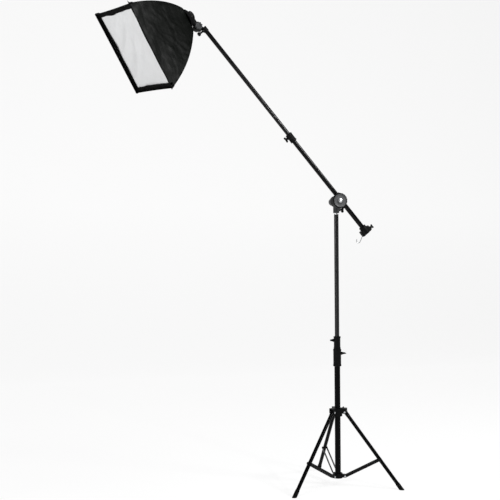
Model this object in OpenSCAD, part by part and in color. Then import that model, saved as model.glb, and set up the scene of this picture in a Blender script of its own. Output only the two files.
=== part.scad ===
// Boom light: a folding light stand, a telescopic boom and a lamp head with a rectangular softbox.
// Millimetres, +Z up. The origin is the point on the floor under the middle of the column.
// The boom lies in the XZ plane and rises toward -X.

/* [Column] */
// Outer diameter of the lowest column tube
base_d = 32; // [31:0.5:33]
// Outer diameter of the middle column tube
mid_d = 28; // [27.5:0.5:28.5]
// Outer diameter of the top column tube
top_d = 25; // [24:0.5:25]
// Wall thickness of the column tubes
tube_wall = 1; // [0.8:0.1:1.2]
// Height of the lower lock collar's foot, which holds the top of the lowest tube
base_top = 654; // [640:2:680]
// Height of the top end of the top tube
column_top = 1493; // [1300:5:1500]
// Length of the top tube
top_len = 750; // [720:5:780]
// Length of the lower lock collar
base_collar_len = 94; // [80:1:100]
// Length of the upper lock collar
mid_collar_len = 70; // [60:1:80]

/* [Legs] */
// Distance from the leg's hinge pin to the floor, along the leg
leg_len = 506; // [490:1:520]
// Outer diameter of a leg tube
leg_d = 20; // [18:0.5:20]
// Height of the leg hinge pins
leg_pivot_z = 404; // [395:1:415]
// Height of the brace hinge pins
hub_pivot_z = 54; // [50:1:60]
// Distance of the hinge pins from the column axis
pivot_r = 43; // [42:1:46]
// Distance from the leg's hinge pin to its brace rivet
leg_to_rivet = 311; // [305:1:320]
// Direction of the first leg, in degrees from +X
leg_turn = -33; // [-40:1:-25]
// Width of the brace strips
brace_w = 15; // [12:1:16]
// Thickness of the brace strips
brace_t = 2; // [1.5:0.1:2.5]

/* [Boom] */
// Angle between the boom and the vertical
boom_lean = 40.7; // [20:0.1:60]
// Outer diameter of the outer boom tube
outer_d = 25; // [24.5:0.5:25.5]
// Outer diameter of the inner boom tube
inner_d = 22.5; // [21:0.5:22.5]
// Reach of the outer tube above the clamp
outer_reach = 430; // [400:5:450]
// Reach of the outer tube below the clamp
tail_reach = 240; // [220:5:260]
// Distance from the clamp to the end of the inner tube
inner_reach = 1140; // [1000:5:1160]
// Diameter of the large tilt knob
tilt_knob_d = 84; // [60:1:86]

/* [Lamp head] */
// Turn of the head round the boom, in degrees from straight down
head_swivel = 13.5; // [0:0.5:30]
// Angle between the boom and the lamp's axis
head_tilt = 85.5; // [60:0.5:110]
// Turn of the softbox round the lamp's axis
box_roll = 18; // [0:0.5:45]
// Distance from the tilt hinge to the lamp's axis
lamp_offset = 66.75; // [65:0.25:70]
// Distance from the tilt hinge to the back of the softbox, along the lamp's axis
box_start = 32.8; // [32:0.1:34]

/* [Softbox] */
// Long side of the front
box_w = 445; // [400:5:500]
// Short side of the front
box_h = 365; // [330:5:400]
// Depth from the ring to the front edge
box_depth = 358; // [345:1:370]
// Half diagonal of the opening at the ring
ring_diag = 48; // [46:1:50]
// Angle of the ribs to the lamp's axis at the ring
rib_angle_ring = 75; // [72:1:78]
// Angle of the ribs where the tight bend ends
rib_angle_mid = 44.7; // [44:0.1:46]
// Angle of the ribs to the lamp's axis at the front
rib_angle_front = 16.6; // [16:0.1:18]
// Thickness of the fabric
cloth = 2; // [1.5:0.1:2]
// Diameter of a rib
rib_d = 4; // [3:0.5:4]
// Depth of the diffuser behind the front edge
recess = 12; // [8:1:14]
// Width of the dark band round the diffuser
band_w = 20; // [15:1:25]

/* [Hidden] */
$fn = 48;

// Colours of the real finishes
black_paint = "#1b1c1d";
black_plastic = "#202122";
grey_plastic = "#5b5c5e";
black_rubber = "#151515";
black_cloth = "#17191a";
white_cloth = "#dcdddd";
bright_steel = "#c9cbcd";
zinc = "#9ea1a4";
brass_tone = "#b8974e";
opal = "#f4f3ee";

// Clearances: of a pin in its hole, and between faces that move past each other
run = 0.05;
gap = 0.3;

// Legs and braces
leg_angle = acos(leg_pivot_z / leg_len);
rivet_out = leg_to_rivet * sin(leg_angle);
rivet_up = leg_pivot_z - hub_pivot_z - leg_to_rivet * cos(leg_angle);
brace_len = norm([rivet_out, rivet_up]);
brace_angle = atan2(rivet_out, rivet_up);
hinge_pin_r = 3;
fork_gap = 24;
ear_t = 4;
ear_r = 8;
foot_r = 11.8;
foot_len = 40;
leg_tube_end = 14;
hood_top = 21;
hood_roof = 8;
collar_knob_turn = leg_turn + 60;

// Column
tube_foot = hub_pivot_z - 14;
collar_grip = 30;
mid_foot = 75;
mid_top_in_collar = 42;
hub_h = 26;
hub_r = 25;
leg_collar_h = 44;
leg_collar_r = 26;
stud_r = 8;
stud_len = 50;
knob_z_base = 70;
knob_z_mid = 48;

// Pan head and boom clamp
bolt_x = -14;
bolt_z = 1563;
bolt_r = 4;
boom_y = -55;
bolt_to_boom = 18;
receiver_r = 17;
receiver_foot = column_top + 8;
hub_back = 28;
rosette_r = 31;
rosette_front = -28;
jaw_back = rosette_front - boom_y - gap;
jaw_front = -19;
jaw_r = 32;
sleeve_r = 19;
sleeve_len = 64;

// Boom
boom_wall = 1;
lock_len = 50;
lock_r = 18.5;
inner_start = 345;
tail_knob_z = 10;
tail_hook_z = 10;
tail_hook_lean = 24;

// Lamp head
hinge_along = inner_reach + 50;
hinge_drop = 33;
lug_r = 20;
lug_t = 13;
swivel_r = 14;
swivel_along = inner_reach + 16;
lamp_r = 26;
neck_r = 22;
socket_r = 18;
thread_r = 13.3;
thread_shell_t = 0.7;
umbrella_r = 4.2;
body_len = 42;

// Softbox: unit direction of a corner, and the two arcs of a rib's outline
half_w = box_w / 2;
half_h = box_h / 2;
front_diag = norm([half_w, half_h]);
corner_x = half_w / front_diag;
corner_y = half_h / front_diag;
rise = front_diag - ring_diag;
a0 = rib_angle_ring;
a1 = rib_angle_mid;
a2 = rib_angle_front;
det = (sin(a0) - sin(a1)) * (cos(a2) - cos(a1)) - (sin(a1) - sin(a2)) * (cos(a1) - cos(a0));
bend_r = (box_depth * (cos(a2) - cos(a1)) - rise * (sin(a1) - sin(a2))) / det;
sweep_r = ((sin(a0) - sin(a1)) * rise - (cos(a1) - cos(a0)) * box_depth) / det;
bend_c = [ring_diag - bend_r * cos(a0), bend_r * sin(a0)];
sweep_c = bend_c + (bend_r - sweep_r) * [cos(a1), -sin(a1)];
rib_in = 6;
rim_r = 48;
rim_len = 18;
rib_front_gap = 4;
hem_in = 2.3;
hem_t = 1.5;
film = 1.5;

// A point of a rib's outline: the angle there, and how far inside the cloth's outer face
function outline(a, inside) =
    a > a1 ? bend_c + (bend_r - inside) * [cos(a), -sin(a)]
           : sweep_c + (sweep_r - inside) * [cos(a), -sin(a)];
// Half diagonal of the box, that far inside the cloth, at a depth near the front
function diag_at(z, inside) = sweep_c.x + sqrt(pow(sweep_r - inside, 2) - pow(z - sweep_c.y, 2));
// Angle of the outline at a depth near the front
function angle_at(z, inside) = asin((sweep_c.y - z) / (sweep_r - inside));

steps = 8;
cloth_angles = concat(
    [for (i = [0:steps / 2]) a0 + (a1 - a0) * i / (steps / 2)],
    [for (i = [1:steps]) a1 + (a2 - a1) * i / steps]
);
rib_end = angle_at(box_depth - recess - rib_front_gap, rib_in);
rib_angles = concat(
    [for (i = [0:steps]) a0 + (a1 - a0) * i / steps],
    [for (i = [1:steps]) a1 + (rib_end - a1) * i / steps]
);

// Places -------------------------------------------------------------------------------------

module on_leg(i) {
    rotate([0, 0, leg_turn + 120 * (i - 1)]) children();
}

// Leg frame: origin at the hinge pin, +Z down along the leg, Y along the pin
module at_leg(i) {
    on_leg(i) translate([pivot_r, 0, leg_pivot_z]) rotate([0, 180 - leg_angle, 0]) children();
}

// Brace frame: origin at the hub's pin, +Z along the brace, Y along the pin
module at_brace(i) {
    on_leg(i) translate([pivot_r, 0, hub_pivot_z]) rotate([0, brace_angle, 0]) children();
}

// Tilt axis: origin on the bolt in the boom's plane, Y along the bolt
module at_bolt() {
    translate([bolt_x, boom_y, bolt_z]) children();
}

// Boom frame: origin on the boom's axis beside the bolt, +Z out along the boom
module at_boom() {
    at_bolt() rotate([0, -boom_lean, 0]) translate([bolt_to_boom, 0, 0]) children();
}

module at_head() {
    at_boom() rotate([0, 0, head_swivel]) children();
}

// Lamp frame: origin on the tilt hinge, +Z the way the light goes
module at_lamp() {
    at_head() translate([-hinge_drop, 0, hinge_along]) rotate([0, -head_tilt, 0]) children();
}

// Lamp body frame: on the lamp's axis, body_len behind the softbox
module at_body() {
    at_lamp() translate([lamp_offset, 0, box_start - body_len]) children();
}

// Box frame: origin at the ring on the lamp's axis, +Z the way the light goes, X along the long side
module at_box() {
    at_lamp() translate([lamp_offset, 0, box_start]) rotate([0, 0, -box_roll]) children();
}

// Shapes -------------------------------------------------------------------------------------

module tube(d, wall, h) {
    difference() {
        cylinder(d = d, h = h);
        translate([0, 0, -1]) cylinder(d = d - 2 * wall, h = h + 2);
    }
}

module ring(r, hole, h) {
    difference() {
        cylinder(r = r, h = h);
        translate([0, 0, -1]) cylinder(r = hole, h = h + 2);
    }
}

// A cylinder along Y, centred on the origin
module across(r, w) {
    rotate([90, 0, 0]) cylinder(r = r, h = w, center = true);
}

module rounded_bar(w, t, h, r) {
    linear_extrude(h) offset(r) square([w - 2 * r, t - 2 * r], center = true);
}

// A lock screw that points along +Z: a thin screw from below, a stem and a wing
module wing_knob(screw_len, stem_len, wing_w, wing_h, wing_t) {
    translate([0, 0, -screw_len]) cylinder(r = 3, h = screw_len);
    cylinder(r1 = 7, r2 = 5, h = stem_len);
    translate([0, 0, stem_len + wing_h / 2]) rotate([90, 0, 0]) {
        translate([0, 0, -wing_t / 2]) linear_extrude(wing_t) wing_outline(wing_w, wing_h);
    }
}

module wing_outline(w, h) {
    square([w - h, h * 0.7], center = true);
    for (s = [-1, 1]) translate([s * (w - h) / 2, 0]) circle(d = h);
    translate([0, -h / 4]) square([12, h / 2], center = true);
}

// A lock collar with a boss for its screw, along +Z
module lock_collar(r, len, hole, boss_z, boss_reach) {
    difference() {
        union() {
            cylinder(r = r - 1.5, h = len);
            for (z = [0, len - 10]) translate([0, 0, z]) cylinder(r = r, h = 10);
            translate([0, 0, boss_z]) rotate([0, 90, 0]) cylinder(r = 9, h = boss_reach);
        }
        translate([0, 0, -1]) cylinder(r = hole, h = len + 2);
        translate([0, 0, boss_z]) rotate([0, 90, 0]) cylinder(r = 3 + run, h = boss_reach + 1);
    }
}

// A hood over the top end of each leg: two cheeks that hold its pin, and a roof
module leg_hoods() {
    inside_r = 20;
    for (i = [1:3]) on_leg(i) translate([0, 0, leg_pivot_z]) {
        for (s = [-1, 1]) translate([0, s * (fork_gap + ear_t) / 2 + ear_t / 2, 0])
            rotate([90, 0, 0]) linear_extrude(ear_t) {
                translate([pivot_r, 0]) circle(r = ear_r);
                translate([inside_r, -ear_r]) square([pivot_r - inside_r, ear_r + hood_top]);
                translate([pivot_r - 1, 0]) square([ear_r + 1, hood_top]);
            }
        translate([inside_r, -fork_gap / 2 - ear_t / 2, hood_top - hood_roof])
            cube([pivot_r + ear_r - inside_r - 0.5, fork_gap + ear_t, hood_roof - 0.5]);
    }
}

// Column -------------------------------------------------------------------------------------

module base_tube() color(black_paint) {
    translate([0, 0, tube_foot]) tube(base_d, tube_wall, base_top + collar_grip - tube_foot);
}

module bottom_hub() color(black_plastic) {
    difference() {
        union() {
            translate([0, 0, hub_pivot_z - hub_h / 2]) cylinder(r = hub_r, h = hub_h);
            for (i = [1:3]) on_leg(i) translate([0, 0, hub_pivot_z]) {
                translate([pivot_r, 0, 0]) across(ear_r, fork_gap - 2 * gap);
                translate([pivot_r / 2, 0, 0])
                    cube([pivot_r, fork_gap - 2 * gap, 2 * ear_r], center = true);
            }
        }
        translate([0, 0, hub_pivot_z - hub_h]) cylinder(d = base_d + 2 * run, h = 2 * hub_h);
        for (i = [1:3]) on_leg(i) translate([pivot_r, 0, hub_pivot_z]) across(hinge_pin_r, 60);
    }
}

module hub_pins() color(zinc) {
    pin_w = fork_gap + 2 * brace_t + 1;
    for (i = [1:3]) on_leg(i) translate([pivot_r, 0, hub_pivot_z]) {
        across(hinge_pin_r, pin_w);
        for (s = [-1, 1]) translate([0, s * (pin_w / 2 + 1), 0]) across(5, 2);
    }
}

module base_lock_collar() color(black_plastic) {
    translate([0, 0, base_top]) difference() {
        lock_collar(22.5, base_collar_len, mid_d / 2 + run, knob_z_base, 27);
        translate([0, 0, -1]) cylinder(d = base_d + 2 * run, h = collar_grip + 1);
    }
}

module base_lock_knob() color(black_plastic) {
    translate([27 + gap, 0, base_top + knob_z_base]) rotate([0, 90, 0]) rotate([0, 0, 90])
        wing_knob(13, 10, 30, 13, 7);
}

module mid_tube() color(black_paint) {
    translate([0, 0, mid_foot])
        tube(mid_d, tube_wall, base_top + base_collar_len + mid_top_in_collar - mid_foot);
}

module mid_lock_collar() color(black_plastic) {
    translate([0, 0, base_top + base_collar_len + gap]) difference() {
        rotate([0, 0, 160])
            lock_collar(19.5, mid_collar_len, top_d / 2 + run, knob_z_mid, 23);
        translate([0, 0, -1]) cylinder(d = mid_d + 2 * run, h = mid_top_in_collar + 1 - gap);
    }
}

module mid_lock_knob() color(black_plastic) {
    rotate([0, 0, 160]) translate([23 + gap, 0, base_top + base_collar_len + knob_z_mid + gap])
        rotate([0, 90, 0]) rotate([0, 0, 90]) wing_knob(10.5, 6, 24, 11, 6);
}

module top_tube() color(black_paint) {
    translate([0, 0, column_top - top_len]) tube(top_d, tube_wall, top_len);
}

module top_stud() color(bright_steel) {
    translate([0, 0, column_top - 30]) cylinder(d = top_d - 2 * tube_wall - 2 * run, h = 30);
    translate([0, 0, column_top]) cylinder(d = top_d, h = 3);
    difference() {
        translate([0, 0, column_top]) cylinder(r = stud_r, h = stud_len);
        translate([0, 0, column_top + 20]) ring(stud_r + 1, stud_r - 1, 8);
    }
}

// Legs ---------------------------------------------------------------------------------------

module leg_collar() color(black_plastic) {
    difference() {
        union() {
            translate([0, 0, leg_pivot_z - leg_collar_h / 2 - 2])
                cylinder(r = leg_collar_r, h = leg_collar_h);
            leg_hoods();
            rotate([0, 0, collar_knob_turn]) translate([0, 0, leg_pivot_z + 8]) rotate([0, 90, 0])
                cylinder(r = 9, h = 34);
        }
        translate([0, 0, leg_pivot_z - leg_collar_h]) cylinder(d = base_d + 2 * run, h = 2 * leg_collar_h);
        for (i = [1:3]) on_leg(i) translate([pivot_r, 0, leg_pivot_z]) across(hinge_pin_r + run, 60);
        rotate([0, 0, collar_knob_turn]) translate([0, 0, leg_pivot_z + 8]) rotate([0, 90, 0])
            cylinder(r = 3 + run, h = 36);
    }
}

module leg_pins() color(zinc) {
    pin_w = fork_gap + 2 * ear_t;
    for (i = [1:3]) on_leg(i) translate([pivot_r, 0, leg_pivot_z]) {
        across(hinge_pin_r, pin_w);
        for (s = [-1, 1]) translate([0, s * (pin_w / 2 + 1.25), 0]) across(5, 2.5);
    }
}

module leg_collar_knob() color(black_plastic) {
    rotate([0, 0, collar_knob_turn]) translate([34 + gap, 0, leg_pivot_z + 8]) rotate([0, 90, 0])
        wing_knob(18, 8, 28, 12, 7);
}

module leg(i) color(black_paint) {
    end_r = fork_gap / 2 - gap;
    at_leg(i) difference() {
        union() {
            translate([0, 0, 12]) cylinder(d = leg_d, h = leg_len - leg_tube_end - 12);
            cylinder(r = end_r - 1, h = 26);
            across(end_r - 1, 2 * end_r);
        }
        translate([0, 0, 30]) cylinder(d = leg_d - 2 * tube_wall, h = leg_len);
        across(hinge_pin_r + run, 60);
    }
}

module foot(i) color(black_rubber) {
    difference() {
        at_leg(i) translate([0, 0, leg_len - foot_len]) cylinder(r = foot_r, h = foot_len + 20);
        at_leg(i) translate([0, 0, leg_len - foot_len - 1])
            cylinder(d = leg_d, h = foot_len - leg_tube_end + 1);
        translate([0, 0, -100]) cube([1200, 1200, 200], center = true);
    }
}

module brace(i) color(black_paint) {
    at_brace(i) for (s = [-1, 1]) {
        difference() {
            translate([0, s * (fork_gap + brace_t) / 2, 0]) {
                for (z = [0, brace_len]) translate([0, 0, z]) across(brace_w / 2, brace_t);
                translate([0, 0, brace_len / 2]) cube([brace_w, brace_t, brace_len], center = true);
            }
            across(hinge_pin_r + run, 60);
        }
        translate([0, s * (fork_gap / 2 + brace_t + 1), brace_len]) across(5, 2);
        translate([0, s * (leg_d / 2 + gap + fork_gap / 2) / 2, brace_len])
            across(5, fork_gap / 2 - leg_d / 2 - gap);
    }
}

// Pan head and clamp -------------------------------------------------------------------------

module pan_receiver() color(grey_plastic) {
    difference() {
        union() {
            translate([0, 0, receiver_foot]) cylinder(r = receiver_r, h = bolt_z - receiver_foot);
            translate([bolt_x, 0, bolt_z]) {
                translate([0, hub_back / 2 + rosette_front / 2, 0]) across(20, hub_back - rosette_front);
                translate([0, rosette_front + 6, 0]) across(rosette_r, 12);
            }
            translate([0, 0, receiver_foot + 20]) rotate([0, 90, 0]) cylinder(r = 10, h = 24);
        }
        translate([0, 0, receiver_foot - 1]) cylinder(r = stud_r + run, h = stud_len - 4);
        translate([bolt_x, 0, bolt_z]) across(bolt_r, 200);
        translate([0, 0, receiver_foot + 20]) rotate([0, 90, 0]) cylinder(r = 3 + run, h = 30);
    }
}

module tilt_bolt() color(bright_steel) {
    head = 9;
    translate([bolt_x, 0, bolt_z]) {
        translate([0, hub_back + head - 1, 0]) rotate([90, 0, 0])
            cylinder(r = bolt_r, h = hub_back + head - boom_y - jaw_front + 19);
        translate([0, hub_back + head, 0]) rotate([90, 30, 0]) cylinder(r = 10, h = head, $fn = 6);
    }
}

module pan_knob() color(black_plastic) {
    translate([24 + gap, 0, receiver_foot + 20]) rotate([0, 90, 0]) rotate([0, 0, 20])
        wing_knob(15, 5, 36, 18, 9);
}

module boom_clamp() color(black_plastic) {
    difference() {
        union() {
            at_bolt() translate([0, (jaw_back + jaw_front) / 2, 0]) across(jaw_r, jaw_back - jaw_front);
            at_boom() translate([0, 0, -sleeve_len / 2]) cylinder(r = sleeve_r, h = sleeve_len);
        }
        at_boom() translate([0, 0, -sleeve_len]) cylinder(d = outer_d + 2 * run, h = 2 * sleeve_len);
        at_bolt() across(bolt_r + run, 200);
        at_boom() translate([-50, 0, 0]) cube([100, 2, 200], center = true);
        at_bolt() translate([0, -100 + jaw_front, 0]) across(60, 200);
        at_bolt() translate([0, 100 + jaw_back, 0]) across(60, 200);
    }
}

module tilt_knob() color(grey_plastic) {
    face = jaw_front - gap;
    depth = 22;
    flutes = 18;
    at_bolt() translate([0, face, 0]) rotate([90, 0, 0]) difference() {
        union() {
            cylinder(r = 20, h = 8);
            translate([0, 0, 4]) cylinder(d = tilt_knob_d, h = depth - 8);
            translate([0, 0, depth - 4]) cylinder(d1 = tilt_knob_d, d2 = tilt_knob_d - 10, h = 4);
        }
        translate([0, 0, depth - 4]) ring(tilt_knob_d / 2 - 9, 13, 5);
        translate([0, 0, -1]) cylinder(r = bolt_r + run, h = depth + 2);
        for (i = [1:flutes]) rotate([0, 0, i * 360 / flutes])
            translate([tilt_knob_d / 2 + 2.5, 0, -1]) cylinder(r = 4, h = depth + 2);
    }
}

module tilt_knob_cap() color(bright_steel) {
    at_bolt() translate([0, jaw_front - gap - 22, 0]) rotate([90, 0, 0]) {
        cylinder(r = 11, h = 2);
        cylinder(r = 7, h = 6);
    }
}

// Boom ---------------------------------------------------------------------------------------

module boom_outer_tube() color(black_paint) {
    at_boom() translate([0, 0, -tail_reach]) tube(outer_d, boom_wall, tail_reach + outer_reach);
}

module boom_lock_collar() color(black_plastic) {
    at_boom() translate([0, 0, outer_reach - lock_len / 2]) rotate([0, 0, 180]) difference() {
        lock_collar(lock_r, lock_len, inner_d / 2 + run, 34, 20.3);
        translate([0, 0, -1]) cylinder(d = outer_d + 2 * run, h = lock_len / 2 + 1);
    }
}

module boom_lock_knob() color(black_plastic) {
    at_boom() translate([-20.3 - gap, 0, outer_reach - lock_len / 2 + 34]) rotate([0, -90, 0])
        wing_knob(8.8, 4, 32, 13, 8);
}

module boom_inner_tube() color(black_paint) {
    at_boom() translate([0, 0, inner_start]) tube(inner_d, boom_wall, inner_reach - inner_start);
}

module boom_tip_stud() color(bright_steel) {
    at_boom() {
        translate([0, 0, inner_reach - 25]) cylinder(d = inner_d - 2 * boom_wall - 2 * run, h = 25);
        translate([0, 0, inner_reach]) cylinder(d = inner_d, h = 3);
        translate([0, 0, inner_reach]) cylinder(r = stud_r, h = 28);
    }
}

module tail_block() color(black_plastic) {
    length = 46;
    at_boom() translate([0, 0, -tail_reach - 6]) difference() {
        union() {
            cylinder(r = 20, h = length);
            rounded_bar(62, 32, 30, 8);
            translate([0, 0, tail_knob_z]) rotate([0, 90, 0]) cylinder(r = 10, h = 36);
        }
        translate([0, 0, 6]) cylinder(d = outer_d + 2 * run, h = length);
        translate([-21, 0, tail_hook_z]) rotate([0, -90 - tail_hook_lean, 0])
            translate([0, 0, -1]) cylinder(r = 2 + run, h = 30);
        translate([0, 0, tail_knob_z]) rotate([0, 90, 0]) cylinder(r = 3 + run, h = 40);
    }
}

module tail_knob() color(black_plastic) {
    at_boom() translate([36 + gap, 0, tail_knob_z - tail_reach - 6]) rotate([0, 90, 0])
        wing_knob(22, 6, 24, 12, 7);
}

module tail_hook() color(zinc) {
    bend = 11;
    shank = 46;
    at_boom() translate([-21, 0, tail_hook_z - tail_reach - 6])
        rotate([0, -90 - tail_hook_lean, 0]) {
        cylinder(r = 2, h = shank);
        translate([bend, 0, shank]) rotate([90, 0, 0]) rotate([0, 0, 180])
            rotate_extrude(angle = -200) translate([bend, 0]) circle(r = 2);
    }
}

// Lamp head ----------------------------------------------------------------------------------

module swivel_bracket() color(black_plastic) {
    difference() {
        union() {
            at_head() translate([0, 0, inner_reach + 3 + gap]) cylinder(r = swivel_r, h = 27);
            at_head() translate([-hinge_drop, lug_t / 2 + gap / 2, hinge_along]) across(lug_r, lug_t);
            at_head() translate([-hinge_drop / 2, lug_t / 2 + gap / 2, hinge_along - 14])
                cube([hinge_drop, lug_t, 24], center = true);
            at_head() translate([0, 0, swivel_along]) rotate([0, -90, 0]) cylinder(r = 7, h = 19);
        }
        at_boom() translate([0, 0, inner_reach]) cylinder(r = stud_r + run, h = 28.5);
        at_head() translate([-hinge_drop, 0, hinge_along]) across(3 + run, 100);
        at_head() translate([0, 0, swivel_along]) rotate([0, -90, 0]) cylinder(r = 3 + run, h = 30);
    }
}

module swivel_knob() color(black_plastic) {
    at_head() translate([-19 - gap, 0, swivel_along]) rotate([0, -90, 0]) {
        translate([0, 0, -10]) cylinder(r = 3, h = 10);
        cylinder(r = 5, h = 20);
        translate([0, 0, 20]) cylinder(r1 = 5, r2 = 10, h = 4);
        translate([0, 0, 24]) cylinder(r = 10, h = 8);
    }
}

module head_tilt_bolt() color(bright_steel) {
    at_head() translate([-hinge_drop, 0, hinge_along]) {
        translate([0, -4, 0]) across(3, 48);
        translate([0, lug_t + gap / 2 + 4, 0]) rotate([90, 0, 0]) cylinder(r = 7, h = 4, $fn = 6);
    }
}

module head_tilt_knob() color(grey_plastic) {
    flutes = 8;
    at_head() translate([-hinge_drop, -lug_t - gap * 1.5, hinge_along]) rotate([90, 0, 0])
        difference() {
            union() {
                cylinder(r = 11, h = 6);
                translate([0, 0, 6]) cylinder(r = 21, h = 12);
            }
            translate([0, 0, -1]) cylinder(r = 3 + run, h = 17);
            for (i = [1:flutes]) rotate([0, 0, i * 360 / flutes])
                translate([24, 0, -1]) cylinder(r = 7, h = 22);
        }
}

module lamp_holder() color(black_plastic) {
    lug_y = -lug_t / 2 - gap / 2;
    neck_len = lamp_offset - lamp_r + 6;
    difference() {
        union() {
            at_lamp() translate([0, lug_y, 0]) across(lug_r, lug_t);
            at_lamp() translate([neck_len / 2, lug_y, 0]) cube([neck_len, lug_t, 26], center = true);
            at_body() {
                translate([0, 0, -6]) cylinder(r = lamp_r, h = 40);
                translate([0, 0, body_len - 8 - gap]) cylinder(r = lamp_r + 5, h = 4);
                cylinder(r = neck_r, h = body_len + 16);
            }
        }
        at_body() translate([0, 0, 18]) cylinder(r = socket_r, h = 100);
        at_lamp() translate([20, lug_y, -50]) cylinder(r = umbrella_r, h = 100);
        at_lamp() across(3 + run, 100);
        at_body() translate([9, 0, -7]) cylinder(r = 6, h = 15);
        at_body() translate([-11, 0, -6]) across(5 + gap, 15);
    }
}

module ring_nut() color(black_plastic) {
    at_body() translate([0, 0, body_len + 8 + gap]) ring(28, neck_r + run, 6);
}

module lamp_socket() color(opal) {
    at_body() translate([0, 0, 18]) difference() {
        cylinder(r = socket_r - run, h = body_len - 2);
        translate([0, 0, 8]) cylinder(r = thread_r + thread_shell_t, h = 100);
    }
}

module socket_shell() color(brass_tone) {
    at_body() translate([0, 0, 26]) ring(thread_r + thread_shell_t, thread_r, 26);
}

module power_gland() color(black_rubber) {
    at_body() translate([9, 0, -16]) difference() {
        union() {
            cylinder(r1 = 5, r2 = 6, h = 10);
            translate([0, 0, 9]) cylinder(r = 6, h = 14);
        }
        translate([0, 0, -1]) cylinder(r = 3.2, h = 18);
    }
}

module power_switch() color(black_plastic) {
    at_body() translate([-11, 0, -6]) intersection() {
        across(5, 14);
        union() {
            rotate([0, 12, 0]) translate([0, 0, 4]) cube([20, 20, 14], center = true);
            rotate([0, -12, 0]) translate([0, 0, 4]) cube([20, 20, 14], center = true);
        }
    }
}

module bulb_base() color(bright_steel) {
    at_body() translate([0, 0, 28]) {
        cylinder(r = thread_r - 0.3, h = 30);
        translate([0, 0, 30]) cylinder(r1 = thread_r - 0.3, r2 = 20, h = 14);
    }
}

module bulb_glass() color(opal) {
    at_body() translate([0, 0, 72]) rotate_extrude() bulb_outline();
}

// Half outline of the bulb's glass: a neck that flares into a round end
module bulb_outline() {
    difference() {
        union() {
            square([20, 14]);
            translate([0, 36]) circle(r = 30);
            polygon([[0, 8], [20, 8], [28.5, 26.5], [0, 40]]);
        }
        translate([-80, -50]) square([80, 200]);
    }
}

// Softbox ------------------------------------------------------------------------------------

module speedring() color(black_paint) {
    socket_dir = [sin(a0), cos(a0)];
    start = outline(a0, rib_in);
    at_box() difference() {
        union() {
            translate([0, 0, -4]) cylinder(r = 28, h = 12);
            translate([0, 0, -4]) cylinder(r = rim_r, h = 4 - gap);
            translate([0, 0, -rim_len]) ring(rim_r, rim_r - 4, rim_len - gap);
            for (s = [-1, 1], t = [-1, 1]) rotate([0, 0, atan2(t * half_h, s * half_w)])
                translate([start.x, 0, start.y]) rotate([0, a0, 0])
                    translate([0, 0, -20]) cylinder(r = 3.9, h = 16.5);
        }
        translate([0, 0, -10]) cylinder(r = neck_r + run, h = 40);
        for (s = [-1, 1], t = [-1, 1]) rotate([0, 0, atan2(t * half_h, s * half_w)])
            translate([start.x, 0, start.y]) rotate([0, a0, 0])
                translate([0, 0, -15]) cylinder(r = rib_d / 2 + run, h = 20);
    }
}

// A round rod bent along the corner, in the XZ plane, with a straight start in its socket
module rib() {
    sides = 10;
    start = outline(a0, rib_in);
    ends = concat([a0], rib_angles);
    n = len(ends);
    centres = concat([start - 14 * [sin(a0), cos(a0)]], [for (a = rib_angles) outline(a, rib_in)]);
    points = [for (i = [0:n - 1], k = [0:sides - 1]) let (f = 360 * k / sides)
        [centres[i].x + rib_d / 2 * cos(f) * cos(ends[i]), rib_d / 2 * sin(f),
         centres[i].y - rib_d / 2 * cos(f) * sin(ends[i])]];
    walls = [for (i = [0:n - 2], k = [0:sides - 1])
        [sides * i + k, sides * i + (k + 1) % sides,
         sides * (i + 1) + (k + 1) % sides, sides * (i + 1) + k]];
    caps = [[for (k = [sides - 1:-1:0]) k], [for (k = [0:sides - 1]) sides * (n - 1) + k]];
    polyhedron(points, concat(walls, caps));
}

module ribs() color(zinc) {
    at_box() for (s = [-1, 1], t = [-1, 1]) rotate([0, 0, atan2(t * half_h, s * half_w)]) rib();
}

// Corner point of the cloth at one station, on the side of the box that faces +X
function cloth_point(a, inside, side, across_box) =
    let (p = outline(a, inside))
    side == "x" ? [p.x * corner_x, across_box * p.x * corner_y, p.y]
                : [across_box * p.x * corner_x, p.x * corner_y, p.y];

// One sewn panel, with mitred long edges that meet its neighbours
module panel(side) {
    n = len(cloth_angles);
    points = [for (a = cloth_angles, q = [[0, -1], [0, 1], [cloth, 1], [cloth, -1]])
        cloth_point(a, q[0], side, q[1])];
    walls = [for (i = [0:n - 2], k = [0:3])
        [4 * i + k, 4 * i + (k + 1) % 4, 4 * i + 4 + (k + 1) % 4, 4 * i + 4 + k]];
    ends = [[3, 2, 1, 0], [4 * n - 4, 4 * n - 3, 4 * n - 2, 4 * n - 1]];
    faces = concat(walls, ends);
    flip = side == "x";
    polyhedron(points, [for (f = faces) flip ? [for (i = [len(f) - 1:-1:0]) f[i]] : f]);
}

module panel_top() color(black_cloth) {
    at_box() panel("x");
}

module panel_bottom() color(black_cloth) {
    at_box() rotate([0, 0, 180]) panel("x");
}

module panel_far() color(black_cloth) {
    at_box() panel("y");
}

module panel_near() color(black_cloth) {
    at_box() rotate([0, 0, 180]) panel("y");
}

module front_hem() color(black_cloth) {
    z0 = box_depth - recess;
    outer = [for (z = [z0, box_depth]) diag_at(z, hem_in)];
    inner = [for (z = [z0, box_depth]) diag_at(z, hem_in + hem_t)];
    signs = [[1, 1], [-1, 1], [-1, -1], [1, -1]];
    points = [for (d = [[outer[0], z0], [outer[1], box_depth], [inner[1], box_depth], [inner[0], z0]],
        s = signs) [s.x * d[0] * corner_x, s.y * d[0] * corner_y, d[1]]];
    faces = [for (ring = [0:3], k = [0:3])
        [4 * ring + k, 4 * ring + (k + 1) % 4,
         (4 * ring + 4) % 16 + (k + 1) % 4, (4 * ring + 4) % 16 + k]];
    at_box() polyhedron(points, [for (f = faces) [f[3], f[2], f[1], f[0]]]);
}

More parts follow.
